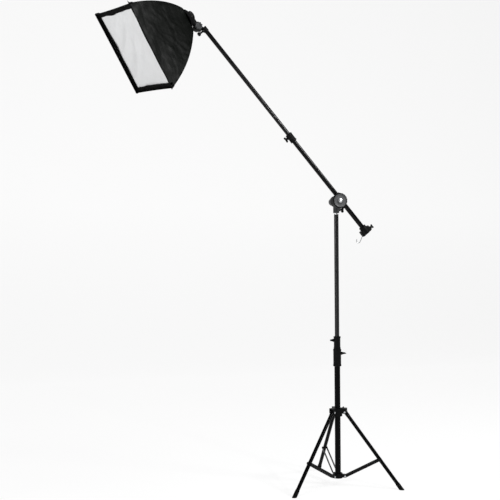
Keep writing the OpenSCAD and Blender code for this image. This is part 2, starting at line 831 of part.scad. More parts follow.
module diffuser_band() color(black_cloth) {
    z0 = box_depth - recess;
    d = diag_at(z0, hem_in + hem_t) - 0.2;
    at_box() translate([0, 0, z0]) linear_extrude(film) difference() {
        square([2 * d * corner_x, 2 * d * corner_y], center = true);
        square([2 * (d * corner_x - band_w), 2 * (d * corner_y - band_w)], center = true);
    }
}

module diffuser() color(white_cloth) {
    z0 = box_depth - recess;
    d = diag_at(z0, hem_in + hem_t) - 0.2;
    at_box() translate([0, 0, z0 - film]) linear_extrude(film)
        square([2 * d * corner_x - 2, 2 * d * corner_y - 2], center = true);
}

base_tube();
bottom_hub();
hub_pins();
base_lock_collar();
base_lock_knob();
leg_collar();
leg_pins();
leg_collar_knob();
leg(1);  // leg_1
leg(2);  // leg_2
leg(3);  // leg_3
foot(1);  // foot_1
foot(2);  // foot_2
foot(3);  // foot_3
brace(1);  // brace_1
brace(2);  // brace_2
brace(3);  // brace_3
mid_tube();
mid_lock_collar();
mid_lock_knob();
top_tube();
top_stud();
pan_receiver();
tilt_bolt();
pan_knob();
boom_clamp();
tilt_knob();
tilt_knob_cap();
boom_outer_tube();
boom_lock_collar();
boom_lock_knob();
tail_block();
tail_knob();
tail_hook();
boom_inner_tube();
boom_tip_stud();
swivel_bracket();
swivel_knob();
head_tilt_bolt();
head_tilt_knob();
lamp_holder();
ring_nut();
lamp_socket();
socket_shell();
power_gland();
power_switch();
bulb_base();
bulb_glass();
speedring();
ribs();
panel_top();
panel_bottom();
panel_near();
panel_far();
front_hem();
diffuser_band();
diffuser();
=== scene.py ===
"""Looks of the boom light.

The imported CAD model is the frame. The cloth, the knobs and the trim are built here: in
millimetres up to piece(), which makes metres of them.
"""

import math

import bmesh
import bpy
from mathutils import Matrix, Vector, noise


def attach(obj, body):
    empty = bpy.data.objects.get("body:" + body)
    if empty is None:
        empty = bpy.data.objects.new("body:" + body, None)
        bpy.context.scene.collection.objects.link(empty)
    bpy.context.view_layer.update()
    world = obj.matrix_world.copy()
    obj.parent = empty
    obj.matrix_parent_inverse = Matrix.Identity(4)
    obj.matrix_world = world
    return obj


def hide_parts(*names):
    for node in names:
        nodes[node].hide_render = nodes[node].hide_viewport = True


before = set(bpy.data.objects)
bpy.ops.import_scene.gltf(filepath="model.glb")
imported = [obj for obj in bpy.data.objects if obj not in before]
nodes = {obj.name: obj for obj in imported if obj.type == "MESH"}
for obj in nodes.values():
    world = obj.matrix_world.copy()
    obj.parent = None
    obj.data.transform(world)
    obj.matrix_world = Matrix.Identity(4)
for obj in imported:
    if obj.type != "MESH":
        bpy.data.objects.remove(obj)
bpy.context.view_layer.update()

MM = 0.001


# Frames -------------------------------------------------------------------------------------


def turn(axis, degrees):
    return Matrix.Rotation(math.radians(degrees), 4, axis)


def move(x, y, z):
    """A translation given in millimetres."""
    return Matrix.Translation(Vector((x, y, z)) * MM)


BOLT = move(-14, -55, 1563)
BOOM = BOLT @ turn("Y", -40.7) @ move(18, 0, 0)
HEAD = BOOM @ turn("Z", 13.5)
LAMP = HEAD @ move(-33, 0, 1190) @ turn("Y", -85.5)
BOX = LAMP @ move(66.75, 0, 32.8) @ turn("Z", -18)
COLUMN = Matrix.Identity(4)
LEG_ANGLE = math.degrees(math.acos(404 / 506))
LEGS = [
    turn("Z", -33 + 120 * i) @ move(43, 0, 404) @ turn("Y", 180 - LEG_ANGLE)
    for i in range(3)
]


# Camera, lights and stage -------------------------------------------------------------------


def camera():
    data = bpy.data.cameras.new("camera")
    data.lens, data.sensor_width = 58.25, 36
    cam = bpy.data.objects.new("camera", data)
    bpy.context.collection.objects.link(cam)
    cam.matrix_world = (
        Matrix.Translation((-1.703, -4.177, 1.207))
        @ turn("Z", 73.92 - 90)
        @ turn("X", 90 + 1.164)
        @ turn("Z", -0.269)
    )
    bpy.context.scene.camera = cam


def area_light(name, place, target, size, power):
    data = bpy.data.lights.new(name, "AREA")
    data.shape, data.size, data.energy = "SQUARE", size, power
    lamp = bpy.data.objects.new(name, data)
    bpy.context.collection.objects.link(lamp)
    away = Vector(place) - Vector(target)
    lamp.matrix_world = (
        Matrix.Translation(place) @ away.to_track_quat("Z", "Y").to_matrix().to_4x4()
    )


def stage():
    look = bpy.context.scene.view_settings
    look.view_transform = "Standard"
    world = bpy.data.worlds.new("studio")
    bpy.context.scene.world = world
    world.use_nodes = True
    background = world.node_tree.nodes["Background"]
    background.inputs["Color"].default_value = (1, 1, 1, 1)
    background.inputs["Strength"].default_value = 0.05
    area_light("key", (2.6, -2.2, 3.6), (0, 0, 1.5), 0.7, 110)
    area_light("fill", (-5.2, -2.6, 1.5), (-1.0, 0, 2.2), 1.6, 90)
    area_light("strip", (1.4, -4.4, 3.2), (0, 0, 1.8), 0.35, 80)
    area_light("top", (-0.6, -1.4, 5.2), (-0.6, 0, 1.6), 1.6, 60)
    # A floor that curves up into a backdrop well behind the stand
    wall_y, bend, width, top = 4.5, 2.0, 12.0, 9.0
    line = [(-9.0, 0.0)]
    line += [
        (wall_y + bend * math.sin(a), bend - bend * math.cos(a))
        for a in (math.pi / 2 * i / 16 for i in range(17))
    ]
    line.append((wall_y + bend, top))
    points = [(x, y, z) for y, z in line for x in (-width, width)]
    faces = [
        (2 * i, 2 * i + 1, 2 * i + 3, 2 * i + 2) for i in range(len(line) - 1)
    ]
    mesh = bpy.data.meshes.new("floor")
    mesh.from_pydata(points, [], faces)
    mesh.shade_smooth()
    floor = bpy.data.objects.new("floor", mesh)
    bpy.context.collection.objects.link(floor)
    mesh.materials.append(backdrop())


# Materials ----------------------------------------------------------------------------------


class Shader:
    """A material's Principled shader and short calls for the nodes that feed it."""

    def __init__(self, name, **sockets):
        self.material = bpy.data.materials.new(name)
        self.material.use_nodes = True
        self.tree = self.material.node_tree
        self.bsdf = self.tree.nodes["Principled BSDF"]
        for key, value in sockets.items():
            self.bsdf.inputs[key.replace("_", " ")].default_value = value

    def node(self, kind, inputs=None, **settings):
        made = self.tree.nodes.new("ShaderNode" + kind)
        for key, value in settings.items():
            setattr(made, key, value)
        for key, value in (inputs or {}).items():
            if isinstance(value, bpy.types.NodeSocket):
                self.tree.links.new(value, made.inputs[key])
            else:
                made.inputs[key].default_value = value
        return made

    def feed(self, socket, source):
        self.tree.links.new(source, self.bsdf.inputs[socket])

    def place(self, axes=None, scale=(1, 1, 1), uv=False):
        """Coordinates in metres, of the cloth's flat pattern or of the object in some axes."""
        if uv:
            found = self.node("UVMap", uv_map="flat").outputs["UV"]
        else:
            found = self.node("TexCoord").outputs["Object"]
        spin = axes.to_euler() if axes else (0, 0, 0)
        made = self.node(
            "Mapping", {"Vector": found, "Scale": scale}, vector_type="TEXTURE"
        )
        made.inputs["Rotation"].default_value = spin
        if axes:
            made.inputs["Location"].default_value = axes.translation
        return made.outputs["Vector"]

    def noise(self, where, scale, detail=3.0, roughness=0.5):
        made = self.node(
            "TexNoise",
            {
                "Vector": where,
                "Scale": scale,
                "Detail": detail,
                "Roughness": roughness,
            },
        )
        return made.outputs["Fac"]

    def span(self, value, low, high, start=0.3, end=0.7):
        """value from start to end becomes low to high."""
        made = self.node(
            "MapRange",
            {0: value, 1: start, 2: end, 3: low, 4: high},
        )
        return made.outputs[0]

    def blend(self, amount, first, second):
        made = self.node("Mix", data_type="RGBA")
        for key, value in ((0, amount), (6, first), (7, second)):
            if isinstance(value, bpy.types.NodeSocket):
                self.tree.links.new(value, made.inputs[key])
            else:
                made.inputs[key].default_value = value
        return made.outputs[2]

    def math(self, operation, a, b):
        return self.node("Math", {0: a, 1: b}, operation=operation).outputs[0]

    def edges(self, radius):
        """(the normal of softened edges, how much of an edge a point is on)."""
        soft = self.node("Bevel", {"Radius": radius}, samples=4).outputs["Normal"]
        true = self.node("NewGeometry").outputs["Normal"]
        dot = self.node("VectorMath", {0: soft, 1: true}, operation="DOT_PRODUCT")
        return soft, self.span(dot.outputs["Value"], 0.0, 1.0, 0.985, 0.85)

    def bump(self, height, strength, distance, normal=None):
        inputs = {"Height": height, "Strength": strength, "Distance": distance}
        if normal is not None:
            inputs["Normal"] = normal
        made = self.node("Bump", inputs).outputs["Normal"]
        self.feed("Normal", made)
        return made


def rgba(color, factor=1.0):
    return (*(min(1.0, c * factor) for c in color), 1.0)


def backdrop():
    """White paper that is lit evenly by lamps of its own, so that only soft shadows show on it."""
    s = Shader("stage", Roughness=0.9, Specular_IOR_Level=0.1)
    cloud = s.noise(s.place(), 1.5)
    s.feed("Base Color", s.blend(cloud, rgba((0.19, 0.19, 0.19)), rgba((0.2, 0.2, 0.2))))
    s.bsdf.inputs["Emission Color"].default_value = (1, 1, 1, 1)
    s.bsdf.inputs["Emission Strength"].default_value = 0.83
    return s.material


def moulded(name, color, rough, worn, grain, level):
    """Injection-moulded plastic: fine spark grain, cloudy gloss, and edges rubbed lighter."""
    s = Shader(name, Specular_IOR_Level=level)
    where = s.place()
    soft, rim = s.edges(0.6 * MM)
    cloud = s.noise(where, 22.0, 4.0)
    rub = s.math("MULTIPLY", rim, s.span(s.noise(where, 60.0, 5.0), 0.0, 1.0, 0.4, 0.65))
    tone = s.blend(cloud, rgba(color, 0.75), rgba(color, 1.3))
    s.feed("Base Color", s.blend(rub, tone, rgba(worn)))
    gloss = s.span(s.noise(where, 35.0, 4.0), rough - 0.09, rough + 0.09)
    s.feed("Roughness", gloss)
    s.bump(s.noise(where, grain, 2.0), 0.35, 0.00015, soft)
    return s.material


def drawn_tube(name, axes, color, rough, level):
    """Painted or anodised drawn tube: streaks along its length and fine scratches."""
    s = Shader(name, Specular_IOR_Level=level)
    along = s.place(axes, (0.004, 0.004, 0.5))
    free = s.place(axes)
    streak = s.noise(along, 1.0, 5.0, 0.65)
    hair = s.noise(s.place(axes, (0.0011, 0.0011, 0.12)), 1.0, 4.0, 0.7)
    soft, rim = s.edges(0.4 * MM)
    tone = s.blend(streak, rgba(color, 0.7), rgba(color, 1.5))
    scratch = s.span(hair, 0.0, 0.5, 0.66, 0.8)
    rubbed = s.math("MAXIMUM", scratch, s.math("MULTIPLY", rim, 0.6))
    tone = s.blend(rubbed, tone, rgba((0.03, 0.03, 0.03)))
    s.feed("Base Color", tone)
    cloud = s.math("ADD", s.span(streak, -0.06, 0.06), s.span(s.noise(free, 18.0), -0.04, 0.05))
    s.feed("Roughness", s.math("ADD", cloud, rough))
    s.bump(s.noise(along, 3.0, 4.0, 0.7), 0.12, 0.0001, soft)
    return s.material


def plated(name, color, rough, grain=0.05):
    """Bright or zinc plated steel, brass: cloudy metal with fine handling marks."""
    scale = 300.0
    s = Shader(name, Metallic=1.0)
    where = s.place()
    soft, rim = s.edges(0.4 * MM)
    cloud = s.noise(where, 45.0, 5.0, 0.6)
    tone = s.blend(cloud, rgba(color, 0.72), rgba(color, 1.1))
    s.feed("Base Color", s.blend(s.math("MULTIPLY", rim, 0.5), tone, rgba(color, 1.25)))
    s.feed("Roughness", s.span(s.noise(where, scale, 4.0), rough - grain, rough + grain))
    s.bump(s.noise(where, scale * 2, 3.0), 0.15, 0.00008, soft)
    return s.material


def rubber(name, color):
    s = Shader(name, Specular_IOR_Level=0.08)
    where = s.place()
    soft, rim = s.edges(1.0 * MM)
    dust = s.span(s.noise(where, 90.0, 6.0, 0.7), 0.0, 0.6, 0.5, 0.75)
    tone = s.blend(s.noise(where, 30.0), rgba(color, 0.8), rgba(color, 1.3))
    pale = s.math("MAXIMUM", dust, s.math("MULTIPLY", rim, 0.4))
    s.feed("Base Color", s.blend(pale, tone, rgba((0.009, 0.0088, 0.0085))))
    s.feed("Roughness", s.span(s.noise(where, 120.0), 0.6, 0.85))
    s.bump(s.noise(where, 1400.0, 2.0), 0.4, 0.0002, soft)
    return s.material


def woven(name, color, pitch, rough, sheen, level, depth=0.5, shine=0.0, mottle=0.35):
    """Plain-woven cloth on the piece's flat pattern: two sets of threads, slubs and a mottle."""
    s = Shader(
        name,
        Specular_IOR_Level=level,
        Sheen_Weight=sheen,
        Sheen_Roughness=0.45,
        Metallic=shine,
    )
    flat = s.place(uv=True)
    threads = []
    for direction in ("X", "Y"):
        wave = s.node(
            "TexWave",
            {"Vector": flat, "Scale": 0.314 / pitch, "Distortion": 0.4, "Detail": 1.0},
            bands_direction=direction,
        )
        threads.append(wave.outputs["Fac"])
    weave = s.math("MULTIPLY", threads[0], threads[1])
    slub = s.noise(s.place(scale=(1, 0.12, 1), uv=True), 900.0, 2.0)
    cloud = s.noise(flat, 9.0, 5.0, 0.6)
    low, high = rgba(color, 1 - mottle), rgba(color, 1 + mottle)
    tone = s.blend(s.span(cloud, 0.0, 1.0), low, high)
    tone = s.blend(s.math("MULTIPLY", weave, 0.35), tone, rgba(color, 1.9))
    s.feed("Base Color", tone)
    s.feed("Roughness", s.span(s.noise(flat, 25.0, 4.0), rough - 0.1, rough + 0.1))
    broad = s.noise(s.place(scale=(1.6, 0.8, 1), uv=True), 15.0, 2.0, 0.4)
    creases = s.bump(broad, 0.6, 0.009)
    s.bump(s.math("ADD", weave, s.math("MULTIPLY", slub, 0.4)), depth, 0.0002, creases)
    return s.material


BLACK = (0.0016, 0.0017, 0.0018)
GREY_EDGE = (0.012, 0.012, 0.0125)
MATERIALS = {
    "column": drawn_tube("tube_column", COLUMN, (0.001, 0.001, 0.0012), 0.22, 0.06),
    # The top tube's colour is painted lighter than the other tubes' colour: painted light for the
    # light that falls on its top.
    "top": drawn_tube("tube_top_painted_light", COLUMN, (0.008, 0.008, 0.0084), 0.28, 0.28),
    "boom": drawn_tube("tube_boom", BOOM, (0.0012, 0.0012, 0.0014), 0.2, 0.12),
    "inner": drawn_tube("tube_inner", BOOM, (0.003, 0.003, 0.0033), 0.2, 0.18),
    "brace": moulded("tube_brace", BLACK, 0.4, (0.02, 0.02, 0.02), 500.0, 0.12),
    "plastic": moulded("plastic_black", BLACK, 0.5, GREY_EDGE, 900.0, 0.09),
    "grey": moulded("plastic_grey", (0.035, 0.036, 0.038), 0.42, (0.1, 0.1, 0.1), 700.0, 0.25),
    "dial": moulded("plastic_dial", (0.05, 0.051, 0.053), 0.5, (0.2, 0.2, 0.2), 700.0, 0.4),
    "alloy": moulded("alloy_black", (0.002, 0.002, 0.0022), 0.45, (0.03, 0.03, 0.031), 450.0, 0.12),
    "rubber": rubber("rubber_foot", (0.0016, 0.0016, 0.0016)),
    "steel": plated("steel_bright", (0.74, 0.75, 0.76), 0.38),
    "zinc": plated("steel_zinc", (0.5, 0.51, 0.52), 0.34, 0.08),
    "brass": plated("brass_shell", (0.72, 0.5, 0.22), 0.25),
    "ceramic": moulded("ceramic_white", (0.78, 0.76, 0.7), 0.2, (0.85, 0.84, 0.8), 300.0, 0.5),
    "opal": moulded("glass_opal", (0.86, 0.86, 0.82), 0.16, (0.9, 0.9, 0.88), 40.0, 0.5),
    "cloth": woven("cloth_black", (0.0015, 0.002, 0.0015), 0.8 * MM, 0.46, 0.002, 0.075, 0.25),
    "silver": woven("cloth_silver", (0.62, 0.63, 0.64), 0.8 * MM, 0.35, 0.0, 0.5, 0.4, 0.7, 0.12),
    "webbing": woven("cloth_webbing", (0.0014, 0.0014, 0.0016), 1.6 * MM, 0.6, 0.004, 0.06, 0.9),
    "binding": woven("cloth_binding", (0.0012, 0.0013, 0.0012), 0.8 * MM, 0.6, 0.002, 0.03),
    "diffuser": woven(
        "cloth_diffuser", (0.66, 0.665, 0.67), 0.5 * MM, 0.7, 0.0, 0.25, 0.2, 0.0, 0.03
    ),
    "thread": moulded(
        "thread_black", (0.003, 0.003, 0.003), 0.6, (0.012, 0.012, 0.012), 1500.0, 0.08
    ),
}
for i in range(3):
    MATERIALS[f"leg_{i + 1}"] = drawn_tube(
        f"tube_leg_{i + 1}", LEGS[i], (0.001, 0.001, 0.0012), 0.22, 0.06
    )
FINISHES = {
    "column": ["base_tube", "mid_tube"],
    "top": ["top_tube"],
    "boom": ["boom_outer_tube"],
    "inner": ["boom_inner_tube"],
    "brace": ["brace_1", "brace_2", "brace_3"],
    "plastic": [
        "bottom_hub", "base_lock_collar", "leg_collar", "mid_lock_collar", "boom_clamp",
        "boom_lock_collar", "tail_block", "ring_nut", "lamp_holder", "power_switch",
        "base_lock_knob", "leg_collar_knob", "mid_lock_knob", "pan_knob", "boom_lock_knob",
        "tail_knob", "swivel_knob",
    ],
    "alloy": ["swivel_bracket", "speedring", "boom_tip_stud"],
    "grey": ["pan_receiver", "tilt_knob", "head_tilt_knob"],
    "rubber": ["foot_1", "foot_2", "foot_3", "power_gland"],
    "steel": ["top_stud", "tilt_bolt", "tilt_knob_cap", "head_tilt_bolt", "bulb_base"],
    "zinc": ["hub_pins", "leg_pins", "tail_hook", "ribs"],
    "brass": ["socket_shell"],
    "ceramic": ["lamp_socket"],
    "opal": ["bulb_glass"],
    "leg_1": ["leg_1"],
    "leg_2": ["leg_2"],
    "leg_3": ["leg_3"],
}


def dress_nodes():
    for finish, names in FINISHES.items():
        for name in names:
            data = nodes[name].data
            data.materials.clear()
            data.materials.append(MATERIALS[finish])


# Pieces -------------------------------------------------------------------------------------


def piece(name, shape, body, mats, axes, replaces=(), sharp=35, uv=None, which=None):
    """A mesh (points, faces) in millimetres in the given axes, which rides on a body."""
    points, faces = shape
    mesh = bpy.data.meshes.new(name)
    mesh.from_pydata([Vector(p) * MM for p in points], [], faces)
    if axes is not None:
        mesh.transform(axes)
    if uv is not None:
        layer = mesh.uv_layers.new(name="flat")
        for loop in mesh.loops:
            layer.data[loop.index].uv = [c * MM for c in uv[loop.vertex_index]]
    for m in mats:
        mesh.materials.append(MATERIALS[m])
    if which is not None:
        mesh.polygons.foreach_set("material_index", which)
    work = bmesh.new()
    work.from_mesh(mesh)
    bmesh.ops.recalc_face_normals(work, faces=work.faces)
    work.to_mesh(mesh)
    work.free()
    mesh.shade_smooth()
    mesh.set_sharp_from_angle(angle=math.radians(sharp))
    made = bpy.data.objects.new(name, mesh)
    bpy.context.collection.objects.link(made)
    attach(made, body)
    if replaces:
        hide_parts(*replaces)
    return made


def joined(*shapes):
    """Several (points, faces) as one."""
    points, faces = [], []
    for p, f in shapes:
        faces += [tuple(i + len(points) for i in face) for face in f]
        points += [tuple(v) for v in p]
    return points, faces


def placed(shape, axes):
    """A shape moved by a matrix whose translation is in metres."""
    lifted = axes.copy()
    lifted.translation = axes.translation / MM
    return [tuple(lifted @ Vector(p)) for p in shape[0]], shape[1]


def grid(rows, columns, closed_columns=False):
    """Faces of a rows x columns grid of points."""
    faces = []
    for i in range(rows - 1):
        for k in range(columns if closed_columns else columns - 1):
            a, b = i * columns + k, i * columns + (k + 1) % columns
            c, d = (i + 1) * columns + (k + 1) % columns, (i + 1) * columns + k
            faces.append((a, b, c, d))
    return faces


def loft(sections):
    """Closed cross-sections with equal counts, capped at both ends."""
    n = len(sections[0])
    points = [p for s in sections for p in s]
    faces = grid(len(sections), n, closed_columns=True)
    faces.append(tuple(range(n)))
    faces.append(tuple(range(len(points) - n, len(points))))
    return points, faces


def lathe(profile, sides, wave=None):
    """(radius, height) pairs turned round Z. wave(angle, i) adds to the radius of point i."""
    sections = []
    for i, (r, z) in enumerate(profile):
        ring = []
        for k in range(sides):
            a = 2 * math.pi * k / sides
            at = r + (wave(a, i) if wave else 0)
            ring.append((at * math.cos(a), at * math.sin(a), z))
        sections.append(ring)
    return loft(sections)


def bored(shape, sides):
    """A lathed shape whose two end caps are exchanged for the wall of its bore."""
    points, faces = shape
    last = len(points) - sides
    wall = [(k, (k + 1) % sides, last + (k + 1) % sides, last + k) for k in range(sides)]
    return points, faces[:-2] + wall


def rounded(profile, radius, steps=3):
    """The profile's corners rounded, all but the first and last point."""
    made = [profile[0]]
    for before, here, after in zip(profile, profile[1:], profile[2:]):
        p, q, r = Vector(before), Vector(here), Vector(after)
        back, ahead = p - q, r - q
        cut = min(radius, back.length * 0.45, ahead.length * 0.45)
        start, end = q + back.normalized() * cut, q + ahead.normalized() * cut
        for i in range(steps + 1):
            t = i / steps
            made.append(tuple(start * (1 - t) ** 2 + q * 2 * t * (1 - t) + end * t * t))
    made.append(profile[-1])
    return made


def sweep(line, section):
    """A section of (side, up) offsets carried along a line of (point, side, up) vectors."""
    return loft(
        [[tuple(p + side * u + up * v) for u, v in section] for p, side, up in line]
    )


def superellipse(a, b, power, n=20):
    made = []
    for k in range(n):
        t = 2 * math.pi * k / n
        c, s = math.cos(t), math.sin(t)
        made.append(
            (
                a * math.copysign(abs(c) ** (2 / power), c),
                b * math.copysign(abs(s) ** (2 / power), s),
            )
        )
    return made


# Knobs --------------------------------------------------------------------------------------


def screw(length):
    """A screw shank with its thread as ridges, below the origin."""
    radius, pitch = 3.0, 1.0
    profile = [(0.01, -length), (radius - 0.8, -length)]
    z = -length + 0.5
    while z < -0.2:
        profile += [(radius - 0.35, z), (radius, z + pitch / 2)]
        z += pitch
    profile += [(radius - 0.35, 0.0), (0.01, 0.0)]
    return lathe(profile, 24)


def wing_knob(name, axes, screw_len, stem, width, height, thick):
    """A moulded knob on its screw: a ribbed boss and a wing, thin where the fingers press."""
    node = name.replace("wing", "knob")
    ribs = 12
    outer = [
        (0.01, 0),
        (7, 0),
        (7, stem * 0.35),
        (5.2, stem + 1),
        (4.6, stem + height * 0.75),
        (0.01, stem + height * 0.8),
    ]
    ribbed = range(2, 10)
    boss = lathe(
        rounded(outer, 1.0),
        72,
        lambda a, i: 0.35 * math.cos(ribs * a) if i in ribbed else 0,
    )
    sections = []
    count = 23
    for i in range(count):
        x = -1 + 2 * i / (count - 1)
        x = math.copysign(abs(math.sin(x * math.pi / 2)) ** 0.9, x)
        end = max(1 - abs(x) ** 5, 0.0) ** 0.5
        half_h = height / 2 * (0.62 + 0.38 * min(1, abs(x) * 1.5)) * end + 0.02
        half_t = thick / 2 * (1 - 0.42 * math.exp(-(((abs(x) - 0.52) / 0.2) ** 2))) * end + 0.02
        rise = stem + height / 2 + height * 0.1 * (abs(x) ** 2 - 0.4)
        sections.append(
            [(x * width / 2, u, rise + v) for u, v in superellipse(half_t, half_h, 2.6)]
        )
    shape = joined(boss, loft(sections))
    piece(name, shape, node, ["plastic"], axes, [node])
    piece(name + "_screw", screw(screw_len), node, ["steel"], axes)


# Each wing knob's place, and its screw, stem, width, height and thickness
WINGS = {
    "base_lock_wing": (
        move(27.3, 0, 724) @ turn("Y", 90) @ turn("Z", 90),
        (13, 10, 30, 13, 7),
    ),
    "mid_lock_wing": (
        turn("Z", 160) @ move(23.3, 0, 796.3) @ turn("Y", 90) @ turn("Z", 90),
        (10.5, 6, 24, 11, 6),
    ),
    "leg_collar_wing": (
        turn("Z", 27) @ move(34.3, 0, 412) @ turn("Y", 90),
        (18, 8, 28, 12, 7),
    ),
    "pan_wing": (
        move(24.3, 0, 1521) @ turn("Y", 90) @ turn("Z", 20),
        (15, 5, 36, 18, 9),
    ),
    "boom_lock_wing": (
        BOOM @ move(-20.6, 0, 439) @ turn("Y", -90),
        (8.8, 4, 32, 13, 8),
    ),
    "tail_wing": (
        BOOM @ move(36.3, 0, -236) @ turn("Y", 90),
        (22, 6, 24, 12, 7),
    ),
}


def dial(name, node, axes, profile, wave, finish, dark=(), sides=144):
    """A turned knob whose rim is shaped by wave. The profile's steps in dark are black plastic."""
    shape = lathe(profile, sides, wave)
    which = [1 if f // sides in dark else 0 for f in range(len(shape[1]))]
    piece(name, shape, node, [finish, "plastic"], axes, [node], 30, None, which)


def tilt_dial():
    """The large tilt knob: a dished grey face in a fluted black rim, and a domed cap."""
    axes = BOLT @ move(0, -19.3, 0) @ turn("X", 90)
    profile = [
        (4.1, 0), (20, 0), (20, 4), (40.2, 4), (42, 5.6), (42, 18.5), (40.6, 20.6), (38.4, 22),
        (36.4, 22), (34.8, 20.2), (30, 18.6), (15, 18.2), (13.4, 19), (12.4, 22), (4.1, 22),
    ]
    rim, depth, flutes = range(3, 8), 1.5, 18

    def wave(a, i):
        return -depth * max(0.0, math.cos(flutes * a)) ** 1.5 if i in rim else 0

    dial("tilt_dial", "tilt_knob", axes, profile, wave, "dial", rim, 216)
    cap = [(0.01, 0), (11, 0), (11, 1.4), (7.6, 2.2), (7, 4.4), (3.6, 5.9), (0.01, 6.3)]
    top = axes @ move(0, 0, 22)
    shape = lathe(rounded(cap, 0.8), 48)
    piece("tilt_cap", shape, "tilt_knob", ["steel"], top, ["tilt_knob_cap"])


def head_tilt_dial():
    """The lobed knob on the lamp's hinge."""
    axes = HEAD @ move(-33, -13.45, 1190) @ turn("X", 90)
    profile = [(3.05, 0), (11, 0), (11, 6), (21, 6), (21, 18), (10, 18), (8.6, 15.8), (0.01, 15.4)]
    rim, depth, lobes = range(11, 21), 3.9, 8

    def wave(a, i):
        return -depth * (0.5 + 0.5 * math.cos(lobes * a)) ** 1.6 if i in rim else 0

    shape = rounded(profile, 1.8, 4)
    dial("head_tilt_dial", "head_tilt_knob", axes, shape, wave, "grey")


def swivel_dial():
    """The knurled knob that locks the head's swivel."""
    axes = HEAD @ move(-19.3, 0, 1156) @ turn("Y", -90)
    profile = [(0.01, -10), (3, -10), (3, 0), (5, 0), (5, 20), (10, 24), (10, 32), (0.01, 32)]
    rim, depth, teeth = range(13, 19), 0.35, 24

    def wave(a, i):
        return depth * math.cos(teeth * a) if i in rim else 0

    shape = rounded(profile, 0.7, 2)
    dial("swivel_dial", "swivel_knob", axes, shape, wave, "plastic")


def knobs():
    for name, (axes, sizes) in WINGS.items():
        wing_knob(name, axes, *sizes)
    tilt_dial()
    head_tilt_dial()
    swivel_dial()


# Feet and collars ---------------------------------------------------------------------------


def feet():
    """Rubber boots with grip rings and a rolled top edge, flat where they stand."""
    full, groove = 11.75, 11.15
    profile = [(10.02, 466), (11.2, 466), (full, 467), (full, 470), (groove, 471)]
    for ring in range(6):
        z = 473 + 4.6 * ring
        profile += [(groove, z), (full, z + 0.7), (full, z + 2.6), (groove, z + 3.3)]
    profile += [(full, 503), (full, 540)]
    for i, leg in enumerate(LEGS):
        points, faces = placed(lathe(profile, 48), leg)
        along = leg.to_3x3() @ Vector((0, 0, 1))
        floored = [
            tuple(Vector(p) - along * (p[2] / along.z)) if p[2] < 0 else p for p in points
        ]
        n = i + 1
        shape = (floored, faces)
        piece(f"boot_{n}", shape, f"leg_{n}", ["rubber"], None, [f"foot_{n}"], 30)


def lock_collar(name, body, axes, r, length, hole, boss_z, reach):
    """A moulded lock collar: a bead at each end, grip ribs between, a boss for the screw."""
    low, high, sides = r - 1.5, length - 10, 144
    profile = [
        (hole, 0), (r, 0), (r, 10), (low, 11.2), (low, 13), (low, high - 3), (low, high - 1.2),
        (r, high), (r, length), (hole, length),
    ]
    profile = rounded(profile, 1.2, 3)
    ribbed = [i for i, (_, z) in enumerate(profile) if 11.4 < z < high - 1.4]

    def wave(a, i):
        return 0.5 * max(0.0, math.cos(36 * a)) if i in ribbed else 0

    shell = bored(lathe(profile, sides, wave), sides)
    boss = [(0.01, r - 8), (9, r - 8), (9, reach - 0.6), (8.4, reach), (0.01, reach)]
    boss = placed(lathe(rounded(boss, 0.8), 48), move(0, 0, boss_z) @ turn("Y", 90))
    shape = joined(shell, boss)
    piece(name + "_moulding", shape, body, ["plastic"], axes, [name], 30)


def collars():
    on_column, on_boom = move(0, 0, 654), BOOM @ move(0, 0, 405) @ turn("Z", 180)
    lock_collar("base_lock_collar", "stand_base", on_column, 22.5, 94, 14.1, 70, 27)
    lock_collar("boom_lock_collar", "boom_outer", on_boom, 18.5, 50, 11.3, 34, 20.3)


# Softbox ------------------------------------------------------------------------------------

HALF_W, HALF_H, DEPTH, RING = 222.5, 182.5, 358.0, 48.0
FRONT = math.hypot(HALF_W, HALF_H)
CORNER = (HALF_W / FRONT, HALF_H / FRONT)
A0, A1, A2 = (math.radians(a) for a in (75, 44.7, 16.6))


def arc_radii():
    """Radii of the tight bend at the ring and of the long sweep to the front."""
    rise = FRONT - RING
    s0, s1, s2 = math.sin(A0), math.sin(A1), math.sin(A2)
    c0, c1, c2 = math.cos(A0), math.cos(A1), math.cos(A2)
    det = (s0 - s1) * (c2 - c1) - (s1 - s2) * (c1 - c0)
    bend = (DEPTH * (c2 - c1) - rise * (s1 - s2)) / det
    return bend, ((s0 - s1) * rise - (c1 - c0) * DEPTH) / det


BEND, SWEEP = arc_radii()
BEND_C = (RING - BEND * math.cos(A0), BEND * math.sin(A0))
SWEEP_C = (
    BEND_C[0] + (BEND - SWEEP) * math.cos(A1),
    BEND_C[1] - (BEND - SWEEP) * math.sin(A1),
)
BEND_LEN, SWEEP_LEN = BEND * (A0 - A1), SWEEP * (A1 - A2)
RIB_LEN = BEND_LEN + SWEEP_LEN
SIDES = {"top": (0, 1), "bottom": (0, -1), "far": (1, 1), "near": (1, -1)}
SEEDS = {"top": 3.0, "bottom": 17.0, "far": 29.0, "near": 41.0}


def outline(s, inside=0.0):
    """((half diagonal, depth), angle) of the box's corner line at a share s of its length."""
    run = s * RIB_LEN
    if run < BEND_LEN:
        angle, centre, radius = A0 - run / BEND, BEND_C, BEND
    else:
        angle, centre, radius = A1 - (run - BEND_LEN) / SWEEP, SWEEP_C, SWEEP
    return (
        (
            centre[0] + (radius - inside) * math.cos(angle),
            centre[1] - (radius - inside) * math.sin(angle),
        ),
        angle,
    )


def smooth(x, low, high):
    t = min(1.0, max(0.0, (x - low) / (high - low)))
    return t * t * (3 - 2 * t)


